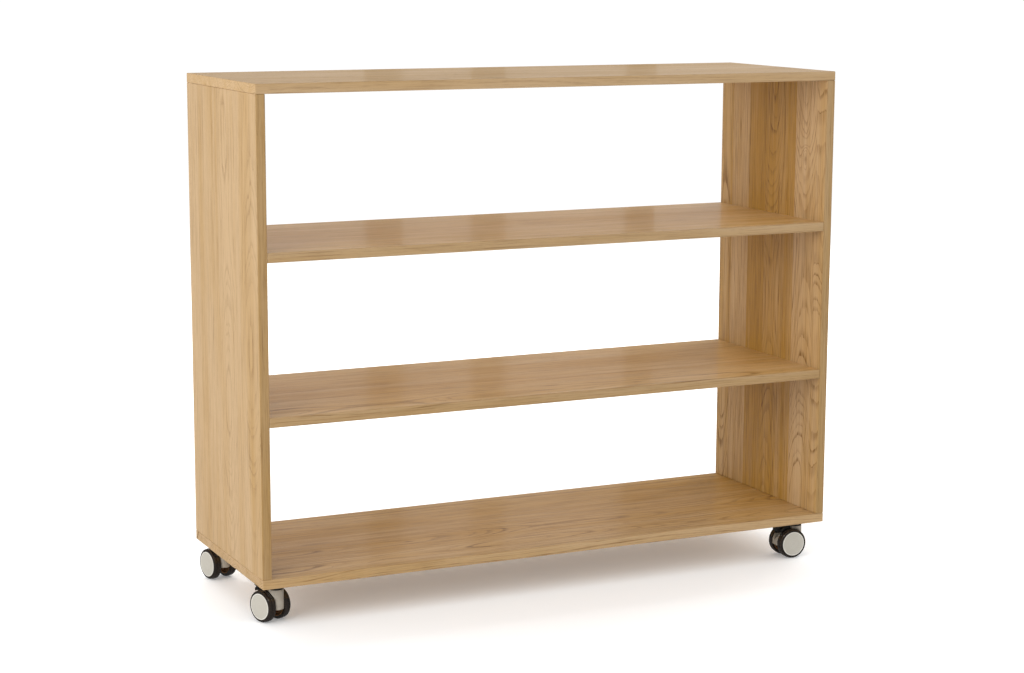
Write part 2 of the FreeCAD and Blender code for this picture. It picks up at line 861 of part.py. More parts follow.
def make_cap(castor, wheel, half_turn):
    """Flat cap with a raised lip, held in the hub's rim by a round spigot."""
    body = castor.body(f"{wheel}_cap")
    spigot = hub_rim_inside - cell("fit_gap")
    spigot_inside = spigot - cell("cap_spigot_thickness")
    spigot_end = cap_back - cell("cap_spigot_length")
    lip_inside = cap_radius - cell("cap_lip_width")
    corners = [
        (ZERO, cap_back),
        (spigot_inside, cap_back),
        (spigot_inside, spigot_end),
        (spigot, spigot_end),
        (spigot, cap_back),
        (cap_radius, cap_back),
        (cap_radius, wheel_outer),
        (lip_inside, wheel_outer),
        (lip_inside - cell("cap_lip_height"), cap_face),
        (ZERO, cap_face),
    ]
    revolve(body, outline(body, "XY_Plane", corners), "V_Axis")
    fillet(body, cell("cap_round"), circle_along_y(cap_radius, wheel_outer))
    castor.roll(body, half_turn)


def make_brake_lever(castor):
    """Hood over the housing's tongue, with a toe to press and a shoe above both tyres."""
    body = castor.body("brake_lever")
    shoe_start = trail + cell("brake_shoe_from_axle")
    shoe_end = shoe_start + cell("brake_shoe_length")
    shoe_top = hood_top + cell("brake_shoe_step")
    shoe_fall = cell("brake_shoe_fall")
    shoe = [
        (-shoe_start, -shoe_top),
        (-shoe_end, -shoe_top - shoe_fall),
        (-shoe_end, -axle_drop),
        (-shoe_start, -axle_drop),
    ]
    pad(body, outline(body, "XZ_Plane", shoe), cell("brake_shoe_width"), middle=True)
    over_tyres = wheel_radius + cell("brake_shoe_gap")
    arc = circles(body, "XZ_Plane", [(-trail, -axle_drop)], over_tyres)
    pocket(body, arc, cell("brake_shoe_width") * 2, middle=True)
    lip = hood_top + cell("brake_tip_height")
    hood = [
        (-hood_start, -hood_top),
        (cell("brake_tip_bevel") - toe, -hood_top),
        (-toe, -lip),
        (-hood_end, -lip - cell("brake_tip_bevel")),
        (-hood_end, cell("brake_hood_tail_rise") - hood_foot),
        (-hood_start, -hood_foot),
    ]
    pad(body, outline(body, "XZ_Plane", hood), cell("brake_hood_width"), middle=True)
    fillet(body, cell("brake_arris"), lambda edge: edge.BoundBox.XMin > -hood_start.value - NEAR)
    inside_width = cell("brake_tongue_width") + cell("brake_side_gap") * 2
    inside = rectangle(
        hood_wall - hood_end, -hood_foot - hood_wall, hood_wall - hood_start, -hood_top - hood_wall
    )
    pocket(body, outline(body, "XZ_Plane", inside), inside_width, middle=True)
    pivot = [(-pivot_back, -pivot_drop)]
    pin_hole = circles(body, "XZ_Plane", pivot, brake_pin_radius + cell("press_gap"))
    pocket(body, pin_hole, cell("brake_hood_width") * 2, middle=True)
    castor.swivel(body)


def make_brake_pin(castor):
    """Steel pin that the brake lever turns with, through the housing's tongue."""
    body = castor.body("brake_pin")
    disc = circles(body, "XZ_Plane", [(-pivot_back, -pivot_drop)], brake_pin_radius)
    pad(body, disc, cell("brake_hood_width"), middle=True)
    castor.swivel(body)


def make_castor(castor):
    make_plate(castor)
    make_screws(castor)
    make_kingpin(castor)
    make_bearing(castor)
    make_housing(castor)
    make_axle(castor)
    for wheel, half_turn in (("right_wheel", HALF_TURN), ("left_wheel", 0)):
        make_hub(castor, wheel, half_turn)
        make_tyre(castor, wheel, half_turn)
        make_cap(castor, wheel, half_turn)
    if castor.braked:
        make_brake_lever(castor)
        make_brake_pin(castor)


# ---------------------------------------------------------------------------
# the cart
# ---------------------------------------------------------------------------


def check_document():
    """Stop if any object failed, or any sub-part is empty or broken."""
    for item in doc.Objects:
        if {"Invalid", "Error"} & set(item.State):
            raise RuntimeError(f"{item.Label} ({item.Name}) failed: {item.State}")
    for body in doc.findObjects("PartDesign::Body"):
        if body.Shape.isNull() or not body.Shape.isValid():
            raise RuntimeError(f"{body.Label} has no valid shape")


def main():
    make_case()
    for name, end, face, braked in (
        ("front_left", -1, -1, True),
        ("back_left", -1, 1, False),
        ("front_right", 1, -1, True),
        ("back_right", 1, 1, False),
    ):
        make_castor(Castor(name, end, face, braked))
    doc.recompute()
    check_document()
    os.makedirs(PARTS_FOLDER, exist_ok=True)
    for body in doc.findObjects("PartDesign::Body"):
        body.Shape.exportStep(os.path.join(PARTS_FOLDER, f"{body.Label}.step"))
        print(f"{body.Label}: {len(body.Shape.Solids)} solid(s), {body.Shape.Volume:.0f} mm3")


main()
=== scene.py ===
"""Looks of the book cart: lacquered oak for the case, and the castors' finishes.

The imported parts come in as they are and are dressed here. Metres, in the parts' own frame:
X along the cart, Y from its front to its back, Z up, the floor at Z = 0.
"""

import json
import logging
import math
from dataclasses import dataclass
from enum import Enum
from typing import List, Optional, Sequence, Tuple, Union

import bpy
import numpy as np
from mathutils import Matrix, Vector


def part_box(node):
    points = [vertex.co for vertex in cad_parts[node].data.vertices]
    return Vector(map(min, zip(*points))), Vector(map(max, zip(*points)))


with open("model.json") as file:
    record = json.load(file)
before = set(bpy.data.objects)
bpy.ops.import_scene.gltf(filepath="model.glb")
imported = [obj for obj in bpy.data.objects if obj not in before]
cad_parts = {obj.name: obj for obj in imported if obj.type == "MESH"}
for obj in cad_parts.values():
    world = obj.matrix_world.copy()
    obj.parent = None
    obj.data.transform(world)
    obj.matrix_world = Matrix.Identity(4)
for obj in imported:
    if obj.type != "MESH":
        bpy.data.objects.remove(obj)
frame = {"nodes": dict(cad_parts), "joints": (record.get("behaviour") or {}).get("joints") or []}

MM = 0.001

Socket = bpy.types.NodeSocket
Colour = Tuple[float, float, float]
Value = Union[Socket, float, Sequence[float]]

# the Mix node's own places for its share and, when it blends colours, its two inputs and
# its result
MIX_SHARE, MIX_LOWER, MIX_UPPER, MIX_RESULT = 0, 6, 7, 2

# how a stave's ring middle turns into its seed
BELOW_IN_SEED = 1.7
SEED_SPREAD = 61.7

log = logging.getLogger("book_cart")


# ---------------------------------------------------------------------------
# node graphs
# ---------------------------------------------------------------------------


def opaque(colour: Sequence[float]) -> Tuple[float, float, float, float]:
    """The colour with full opacity.

    Args:
        colour: Red, green and blue.

    Returns:
        The same with an alpha of 1.
    """
    return (colour[0], colour[1], colour[2], 1.0)


class Graph:
    """A material's node tree, with a short method for each kind of node it uses."""

    def __init__(self, name: str) -> None:
        """Make an empty material.

        Args:
            name: The material's name.
        """
        self.material = bpy.data.materials.new(name)
        self.material.use_nodes = True
        self.tree = self.material.node_tree
        self.tree.nodes.clear()

    def node(self, kind: str, **settings: object) -> bpy.types.Node:
        """Add a node.

        Args:
            kind: Blender's name for the node.
            **settings: Attributes set on it.

        Returns:
            The new node.
        """
        made = self.tree.nodes.new(kind)
        for name, value in settings.items():
            setattr(made, name, value)
        return made

    def feed(self, socket: Socket, value: Value) -> None:
        """Link a socket to the value, or set it.

        Args:
            socket: The input.
            value: Another node's output, or a number or numbers.
        """
        if isinstance(value, bpy.types.NodeSocket):
            self.tree.links.new(value, socket)
        else:
            socket.default_value = value

    def math(self, operation: str, *values: Value) -> Socket:
        """A Math node.

        Args:
            operation: What it does, such as "MULTIPLY".
            *values: Its one to three inputs.

        Returns:
            Its result.
        """
        made = self.node("ShaderNodeMath", operation=operation)
        for socket, value in zip(made.inputs, values):
            self.feed(socket, value)
        return made.outputs[0]

    def add(self, a: Value, b: Value) -> Socket:
        """The sum of two values."""
        return self.math("ADD", a, b)

    def minus(self, a: Value, b: Value) -> Socket:
        """The first value less the second."""
        return self.math("SUBTRACT", a, b)

    def times(self, a: Value, b: Value) -> Socket:
        """The product of two values."""
        return self.math("MULTIPLY", a, b)

    def over(self, a: Value, b: Value) -> Socket:
        """The first value divided by the second."""
        return self.math("DIVIDE", a, b)

    def line(self, value: Value, slope: Value, start: Value) -> Socket:
        """The start, and the slope times the value on top of it."""
        return self.math("MULTIPLY_ADD", value, slope, start)

    def centred(self, value: Value, span: float) -> Socket:
        """A value from 0 to 1 spread over a span that has 0 at its middle."""
        return self.line(value, span, -span / 2)

    def place(self) -> Tuple[Socket, Socket, Socket]:
        """The X, Y and Z of the point in the frame."""
        coordinates = self.node("ShaderNodeTexCoord")
        split = self.node("ShaderNodeSeparateXYZ")
        self.feed(split.inputs[0], coordinates.outputs["Object"])
        return split.outputs[0], split.outputs[1], split.outputs[2]

    def vector(self, x: Value, y: Value, z: Value) -> Socket:
        """A vector from its three parts."""
        made = self.node("ShaderNodeCombineXYZ")
        for socket, value in zip(made.inputs, (x, y, z)):
            self.feed(socket, value)
        return made.outputs[0]

    def stretched(self, parts: Sequence[Value], scales: Sequence[float], shift: Value) -> Socket:
        """A vector whose parts are scaled one by one.

        Args:
            parts: Its three parts.
            scales: What each of them is multiplied by.
            shift: What its last part is moved by as well.

        Returns:
            The vector.
        """
        x, y, z = (self.times(part, scale) for part, scale in zip(parts, scales))
        return self.vector(x, y, self.add(z, shift))

    def noise(
        self, vector: Value, scale: float = 1.0, detail: float = 2.0, rough: float = 0.5
    ) -> Socket:
        """Noise between about 0.2 and 0.8.

        Args:
            vector: Where it is looked up.
            scale: How fine it is.
            detail: How many finer layers it has.
            rough: How strong those layers are.

        Returns:
            The noise.
        """
        made = self.node("ShaderNodeTexNoise")
        self.feed(made.inputs["Vector"], vector)
        made.inputs["Scale"].default_value = scale
        made.inputs["Detail"].default_value = detail
        made.inputs["Roughness"].default_value = rough
        return made.outputs["Fac"]

    def drift(self, along: Value) -> Tuple[Socket, Socket, Socket]:
        """Three independent noises that change along one value."""
        made = self.node("ShaderNodeTexNoise", noise_dimensions="1D")
        self.feed(made.inputs["W"], along)
        made.inputs["Scale"].default_value = 1.0
        made.inputs["Detail"].default_value = 1.0
        split = self.node("ShaderNodeSeparateColor")
        self.feed(split.inputs[0], made.outputs["Color"])
        return split.outputs[0], split.outputs[1], split.outputs[2]

    def chance(self, value: Value) -> Socket:
        """A random number from 0 to 1 that is the same wherever the value is the same."""
        made = self.node("ShaderNodeTexWhiteNoise", noise_dimensions="1D")
        self.feed(made.inputs["W"], value)
        return made.outputs["Value"]

    def steps(self, value: Value, stops: Sequence[Tuple[float, Colour]]) -> Tuple[Socket, ...]:
        """Three numbers that jump at each stop.

        Args:
            value: A number from 0 to 1.
            stops: Where each step starts, and its three numbers.

        Returns:
            The three numbers of the step that the value is in.
        """
        made = self.node("ShaderNodeValToRGB")
        ramp = made.color_ramp
        ramp.interpolation = "CONSTANT"
        while len(ramp.elements) > 1:
            ramp.elements.remove(ramp.elements[-1])
        ramp.elements[0].position, ramp.elements[0].color = stops[0][0], opaque(stops[0][1])
        for start, numbers in stops[1:]:
            ramp.elements.new(start).color = opaque(numbers)
        self.feed(made.inputs[0], value)
        split = self.node("ShaderNodeSeparateColor")
        self.feed(split.inputs[0], made.outputs["Color"])
        return split.outputs[0], split.outputs[1], split.outputs[2]

    def ease(
        self, value: Value, low: float, high: float, start: float = 0.0, end: float = 1.0
    ) -> Socket:
        """A smooth change as a value goes from low to high.

        Args:
            value: The value.
            low: Where the change begins.
            high: Where it is over.
            start: The result up to its beginning.
            end: The result past its end.

        Returns:
            The result.
        """
        made = self.node("ShaderNodeMapRange", interpolation_type="SMOOTHSTEP")
        for name, number in (
            ("Value", value),
            ("From Min", low),
            ("From Max", high),
            ("To Min", start),
            ("To Max", end),
        ):
            self.feed(made.inputs[name], number)
        return made.outputs[0]

    def blend(self, share: Value, a: Value, b: Value, how: str = "MIX") -> Socket:
        """One colour over another.

        Args:
            share: How much of the upper colour shows, from 0 to 1.
            a: The lower colour.
            b: The upper colour.
            how: Blender's name for the way they are blended.

        Returns:
            The blended colour.
        """
        made = self.node("ShaderNodeMix", data_type="RGBA", blend_type=how)
        for index, value in ((MIX_SHARE, share), (MIX_LOWER, a), (MIX_UPPER, b)):
            is_colour = index != MIX_SHARE and not isinstance(value, bpy.types.NodeSocket)
            self.feed(made.inputs[index], opaque(value) if is_colour else value)
        return made.outputs[MIX_RESULT]

    def bump(self, height: Value, distance: float, strength: float) -> Socket:
        """A normal bent by a height map.

        Args:
            height: The height map, from 0 to 1.
            distance: Its full height, in metres.
            strength: How much of it shows, from 0 to 1.

        Returns:
            The normal.
        """
        made = self.node("ShaderNodeBump")
        made.inputs["Strength"].default_value = strength
        made.inputs["Distance"].default_value = distance
        self.feed(made.inputs["Height"], height)
        return made.outputs["Normal"]

    def shade(self, **inputs: Value) -> bpy.types.Material:
        """Close the graph with its shader.

        Args:
            **inputs: The shader's inputs, with _ for each space in their names.

        Returns:
            The finished material.
        """
        shader = self.node("ShaderNodeBsdfPrincipled")
        for name, value in inputs.items():
            socket = shader.inputs[name.replace("_", " ")]
            is_colour = socket.type == "RGBA" and not isinstance(value, bpy.types.NodeSocket)
            self.feed(socket, opaque(value) if is_colour else value)
        output = self.node("ShaderNodeOutputMaterial")
        self.tree.links.new(shader.outputs[0], output.inputs[0])
        return self.material


# ---------------------------------------------------------------------------
# oak
# ---------------------------------------------------------------------------


class Grain(Enum):
    """Which way a board's grain runs."""

    ALONG = "x"
    UPRIGHT = "z"


@dataclass(frozen=True)
class Streaks:
    """Noise that is stretched along the grain.

    Attributes:
        scales: How fine it is along, across and through the board, in cells per metre.
        detail: How many finer layers it has.
        rough: How strong those layers are.
    """

    scales: Tuple[float, float, float]
    detail: float = 2.0
    rough: float = 0.5

    def at(self, g: Graph, parts: Sequence[Socket], seed: Socket) -> Socket:
        """The noise at each point.

        Args:
            g: The graph.
            parts: The place along, across and through the board.
            seed: A number that differs from stave to stave.

        Returns:
            The noise.
        """
        vector = g.stretched(parts, self.scales, seed)
        return g.noise(vector, detail=self.detail, rough=self.rough)


@dataclass(frozen=True)
class Stave:
    """One of the strips that a board is glued up from.

    Attributes:
        start: Where it starts, as a share of the board's depth from its front.
        tone: How light it is, from 0 to 1.
        side: How far the middle of its growth rings is from the board's middle line.
        below: How far that middle is from the middle of the board's thickness.
    """

    start: float
    tone: float
    side: float
    below: float


@dataclass(frozen=True)
class Knot:
    """A small knot.

    Attributes:
        along: Its place along the grain.
        across: Its place across the grain.
        push: How far it pushes the rings.
        dark: How dark its heart is, from 0 to 1.
    """

    along: float
    across: float
    push: float
    dark: float

    def near(self, g: Graph, parts: Sequence[Socket], long: float, wide: float) -> Socket:
        """How near the knot each point is.

        The result is a bell: e to the power of minus the sum of the squares of the two
        distances, each taken as a share of the bell's size that way.

        Args:
            g: The graph.
            parts: The place along, across and through the board.
            long: The bell's size along the grain.
            wide: The bell's size across it.

        Returns:
            1 at the knot's middle, fading to 0.
        """
        u = g.over(g.minus(parts[0], self.along), long)
        v = g.over(g.minus(parts[1], self.across), wide)
        square = g.add(g.times(u, u), g.times(v, v))
        return g.math("EXPONENT", g.times(square, -1.0))


@dataclass(frozen=True)
class Board:
    """One board of the case, and how its oak looks.

    Attributes:
        node: The part's name.
        grain: Which way its grain runs.
        staves: Its strips, from its front to its back.
        seed: A number that makes its figure differ from the other boards'.
        contrast: How dark its rings are, from 0 to 1.
        edge_tone: How light its front and back edges are, from 0 to 1.
        painted_edge_shading: The painted shade on those edges: how bright it leaves them, where
            1 is as the colours say.
        gloss: How much lacquer shows, from 0 to 1.
        bright: The painted light on the rest of it: how much it brightens it, where 1 is as the
            colours say.
        knots: Its knots.
    """

    node: str
    grain: Grain
    staves: Tuple[Stave, ...]
    seed: float
    contrast: float
    edge_tone: float = 0.6
    painted_edge_shading: float = 0.76
    gloss: float = 0.26
    bright: float = 1.0
    knots: Tuple[Knot, ...] = ()


@dataclass
class Figure:
    """What the oak's colour and surface are worked out from, at each point of a board.

    Attributes:
        early: How much of a ring's porous early wood is there, from 0 to 1.
        strokes: The dashes that the early wood breaks into, from 0 to 1.
        fibre: Fine fibres along the grain.
        pores: The open pores, from 0 to 1.
        warmth: How golden the wood is, from 0 to 1.
        edge: 1 on the board's front and back edges, 0 elsewhere.
    """

    early: Socket
    strokes: Socket
    fibre: Socket
    pores: Socket
    warmth: Socket
    edge: Socket


@dataclass(frozen=True)
class Oak:
    """Lacquered edge-glued oak, coloured through its whole thickness.

    The growth rings are tubes around each stave's own middle line, which drifts slowly along
    the grain, so that faces show arches, edges show lines and ends show arcs.

    Attributes:
        pale: The colour of the lightest wood.
        golden: The colour of the warmest wood.
        dark: The colour of the early wood.
        pore: The colour in the pores.
        end_tone: How light the ends of a board are, from 0 to 1.
        skin: How deep the tone and the painted shade of the edges, and the tone of the ends,
            reach.
        reach: The furthest that a ring's middle may be from its board's middle.
        ring_pitch: The width of a year's ring.
        wander: How fast the middle line drifts, in swings per metre.
        side_drift: How far it drifts across the board.
        below_drift: How far it drifts through the board.
        waves: The noises that wave the rings, and how far.
        uneven: How fast the rings' widths change, per ring, and by how many rings.
        knot_rings: The size of the swirl round a knot, along and across the grain.
        knot_heart: The size of its dark heart.
        early_end: Where in a ring the early wood starts to fade, and where it is gone.
        early_start: Where in a ring the next early wood comes in, and where it is full.
        year_range: How much early wood every year has, and how much more at most.
        stroke_range: How much early wood is left between the dashes, and how much more in them.
        dashes, fibres, bands, clouds, hairs: The noises of the figure.
        stroke_step, pore_step, thread_step, light_step: Where each of them sets in.
        band_span, cloud_span: How far the bands and the clouds move the warmth.
        pores_late: How many of the pores are outside the early wood.
        stroke_dark, thread_dark, light_pale, pore_dark: How strongly each of them colours.
        edge_contrast: How much weaker the rings are on the edges, as a share.
        blue_power: How little the blue gains where the painted light brightens a board.
        rough: The lowest roughness, and how much the fibres add.
        pore_rough: How much the pores add to it.
        relief: The full height of the surface's texture.
        relief_shown: How much of it shows.
        fibre_relief, early_relief: The share of the fibres and of the early wood in it.
    """

    pale: Colour = (0.565, 0.388, 0.213)
    golden: Colour = (0.434, 0.234, 0.041)
    dark: Colour = (0.205, 0.098, 0.022)
    pore: Colour = (0.13, 0.062, 0.020)
    end_tone: float = 0.92
    skin: float = 1.4 * MM
    reach: float = 0.4
    ring_pitch: float = 3.4 * MM
    wander: float = 1.25
    side_drift: float = 0.05
    below_drift: float = 0.10
    waves: Tuple[Tuple[Streaks, float], ...] = (
        (Streaks((2.6, 20.0, 20.0)), 9.0 * MM),
        (Streaks((8.0, 110.0, 110.0)), 1.5 * MM),
    )
    uneven: Tuple[float, float] = (0.35, 2.2)
    knot_rings: Tuple[float, float] = (26 * MM, 11 * MM)
    knot_heart: Tuple[float, float] = (7 * MM, 4 * MM)
    early_end: Tuple[float, float] = (0.04, 0.42)
    early_start: Tuple[float, float] = (0.94, 1.0)
    year_range: Tuple[float, float] = (0.25, 0.85)
    stroke_range: Tuple[float, float] = (0.5, 0.8)
    dashes: Streaks = Streaks((13.0, 300.0, 300.0))
    fibres: Streaks = Streaks((5.0, 330.0, 330.0), 3.0, 0.65)
    bands: Streaks = Streaks((1.1, 55.0, 55.0))
    clouds: Streaks = Streaks((3.0, 9.0, 9.0))
    hairs: Streaks = Streaks((55.0, 2300.0, 2300.0), 1.0)
    stroke_step: Tuple[float, float] = (0.48, 0.62)
    pore_step: Tuple[float, float] = (0.56, 0.66)
    thread_step: Tuple[float, float] = (0.54, 0.67)
    light_step: Tuple[float, float] = (0.46, 0.24)
    band_span: float = 0.9
    cloud_span: float = 0.7
    pores_late: float = 0.2
    stroke_dark: float = 0.3
    thread_dark: float = 0.48
    light_pale: float = 0.25
    pore_dark: float = 0.55
    edge_contrast: float = 0.5
    blue_power: float = 0.6
    rough: Tuple[float, float] = (0.34, 0.16)
    pore_rough: float = 0.15
    relief: float = 0.12 * MM
    relief_shown: float = 0.55
    fibre_relief: float = 0.5
    early_relief: float = 0.35

    def rings(self, g: Graph, parts: Sequence[Socket], stave: Sequence[Socket], seed: Socket,
              knots: Sequence[Knot]) -> Socket:
        """How many rings out from its stave's middle line each point is.

        The distance is the root of the squares of the two offsets from the middle line. The
        line drifts with noise along the grain, and finer noises wave the rings themselves. A
        knot adds a bell-shaped bump, so that the rings close round it.

        Args:
            g: The graph.
            parts: The place along, across and through the board.
            stave: The stave's tone, side and below, the last two from 0 to 1.
            seed: A number that differs from stave to stave.
            knots: The board's knots.

        Returns:
            The number of rings, not whole.
        """
        along, across, through = parts
        slow = g.drift(g.add(g.times(along, self.wander), seed))
        side = g.centred(stave[1], 2 * self.reach)
        below = g.centred(stave[2], 2 * self.reach)
        off_side = g.minus(g.minus(across, side), g.centred(slow[0], self.side_drift))
        off_below = g.minus(g.minus(through, below), g.centred(slow[1], self.below_drift))
        square = g.add(g.times(off_side, off_side), g.times(off_below, off_below))
        distance = g.math("SQRT", square)
        for wave, span in self.waves:
            distance = g.add(distance, g.centred(wave.at(g, parts, seed), span))
        for knot in knots:
            bell = knot.near(g, parts, *self.knot_rings)
            distance = g.add(distance, g.times(bell, knot.push))
        count = g.over(distance, self.ring_pitch)
        change, most = self.uneven
        wide = g.drift(g.add(g.times(count, change), seed))
        return g.add(count, g.times(wide[0], most))

    def figure(self, g: Graph, board: Board) -> Tuple[Figure, Tuple[Socket, ...]]:
        """The figure of a board's wood.

        Args:
            g: The graph.
            board: The board.

        Returns:
            The figure, and the place along, across and through the board.
        """
        x, y, z = g.place()
        low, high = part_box(board.node)
        middle = (low + high) / 2
        if board.grain is Grain.ALONG:
            parts = (x, y, g.minus(z, middle.z))
        else:
            parts = (z, y, g.minus(x, middle.x))
        span = 2 * self.reach
        stops = [(s.start, (s.tone, s.side / span + 0.5, s.below / span + 0.5))
                 for s in board.staves]
        stave = g.steps(g.over(g.minus(y, low.y), high.y - low.y), stops)
        seed = g.add(stave[1], g.times(stave[2], BELOW_IN_SEED))
        seed = g.add(g.times(seed, SEED_SPREAD), board.seed)

        rings = self.rings(g, parts, stave, seed, board.knots)
        ring = g.math("FRACT", rings)
        early = g.minus(1.0, g.ease(ring, *self.early_end))
        early = g.math("MAXIMUM", early, g.ease(ring, *self.early_start))
        least, more = self.year_range
        early = g.times(early, g.line(g.chance(g.math("FLOOR", rings)), more, least))
        strokes = g.ease(self.dashes.at(g, parts, seed), *self.stroke_step)
        least, more = self.stroke_range
        early = g.times(early, g.line(strokes, more, least))
        hair = g.ease(self.hairs.at(g, parts, seed), *self.pore_step)
        pores = g.times(hair, g.line(early, 1.0 - self.pores_late, self.pores_late))

        edge = self.skin_at(g, high.y, y)
        tone = g.add(stave[0], g.times(edge, g.minus(board.edge_tone, stave[0])))
        if board.grain is Grain.ALONG:
            end = self.skin_at(g, high.x, x)
            tone = g.add(tone, g.times(end, g.minus(self.end_tone, tone)))
        warmth = g.minus(1.0, tone)
        warmth = g.add(warmth, g.centred(self.bands.at(g, parts, seed), self.band_span))
        warmth = g.add(warmth, g.centred(self.clouds.at(g, parts, seed), self.cloud_span))
        warmth = g.math("MINIMUM", g.math("MAXIMUM", warmth, 0.0), 1.0)
        fibre = self.fibres.at(g, parts, seed)
        return Figure(early, strokes, fibre, pores, warmth, edge), parts

    def skin_at(self, g: Graph, end: float, place: Socket) -> Socket:
        """Where a board's outermost skin is, at both ends of one direction.

        Args:
            g: The graph.
            end: Where the board ends, the same distance either way from 0.
            place: The place in that direction.

        Returns:
            1 in the skin, 0 deeper.
        """
        depth = g.minus(end, g.math("ABSOLUTE", place))
        return g.ease(depth, self.skin / 2, self.skin, 1.0, 0.0)

    def material(self, board: Board) -> bpy.types.Material:
        """The finish of one board.

        Args:
            board: The board, with its staves and its knots.

        Returns:
            Its material.
        """
        g = Graph(f"oak_{board.node}")
        seen, parts = self.figure(g, board)
        colour = g.blend(seen.warmth, self.pale, self.golden)
        contrast = g.line(seen.edge, -self.edge_contrast * board.contrast, board.contrast)
        colour = g.blend(g.times(seen.early, contrast), colour, self.dark)
        strokes = g.times(seen.strokes, g.times(seen.warmth, self.stroke_dark))
        colour = g.blend(strokes, colour, self.dark)
        thread = g.ease(seen.fibre, *self.thread_step, 0.0, self.thread_dark)
        colour = g.blend(thread, colour, self.dark)
        light_thread = g.ease(seen.fibre, *self.light_step, 0.0, self.light_pale)
        colour = g.blend(light_thread, colour, self.pale)
        colour = g.blend(g.times(seen.pores, self.pore_dark), colour, self.pore)
        for knot in board.knots:
            heart = knot.near(g, parts, *self.knot_heart)
            colour = g.blend(g.times(heart, knot.dark), colour, self.dark)
        # Painted light and shade: the colour is multiplied down on the front and back edges
        # (painted shade) and up on the rest of the board (painted light), with less gain in
        # blue.
        light = g.line(seen.edge, board.painted_edge_shading - board.bright, board.bright)
        blue = g.math("MINIMUM", light, g.math("POWER", light, self.blue_power))
        colour = g.blend(1.0, colour, g.vector(light, light, blue), "MULTIPLY")

        least, more = self.rough
        rough = g.add(g.line(seen.fibre, more, least), g.times(seen.pores, self.pore_rough))
        hollow = g.add(seen.pores, g.times(seen.early, self.early_relief))
        height = g.minus(g.times(seen.fibre, self.fibre_relief), hollow)
        return g.shade(
            Base_Color=colour,
            Roughness=rough,
            Normal=g.bump(height, self.relief, self.relief_shown),
            Coat_Weight=board.gloss,
            Coat_Roughness=0.11,
            Coat_IOR=1.45,
            Specular_IOR_Level=0.35,
        )


@dataclass(frozen=True)
class Beech:
    """Raw beech of the dowels: pale, with short dark flecks along the grain.

    Attributes:
        pale: Its own colour.
        fleck: The colour of its flecks.
        cloud_scale: How fine its clouds are.
        fleck_scales: How fine its flecks are, along X, Y and Z.
        fleck_step: Where the flecks set in.
        fleck_dark: How strongly they colour.
        rough: The lowest roughness, and how much the clouds add.
    """

    pale: Colour = (0.60, 0.42, 0.27)
    fleck: Colour = (0.36, 0.21, 0.11)
    cloud_scale: float = 60.0
    fleck_scales: Tuple[float, float, float] = (400.0, 1300.0, 400.0)
    fleck_step: Tuple[float, float] = (0.55, 0.7)
    fleck_dark: float = 0.7
    rough: Tuple[float, float] = (0.5, 0.25)

    def material(self) -> bpy.types.Material:
        """The dowels' material."""
        g = Graph("beech")
        place = g.place()
        cloud = g.noise(g.vector(*place), self.cloud_scale, 3.0)
        fine = (g.times(part, scale) for part, scale in zip(place, self.fleck_scales))
        spots = g.noise(g.vector(*fine))
        share = g.ease(spots, *self.fleck_step, 0.0, self.fleck_dark)
        least, more = self.rough
        return g.shade(
            Base_Color=g.blend(share, self.pale, self.fleck),
            Roughness=g.line(cloud, more, least),
            Normal=g.bump(spots, 0.1 * MM, 0.5),
        )


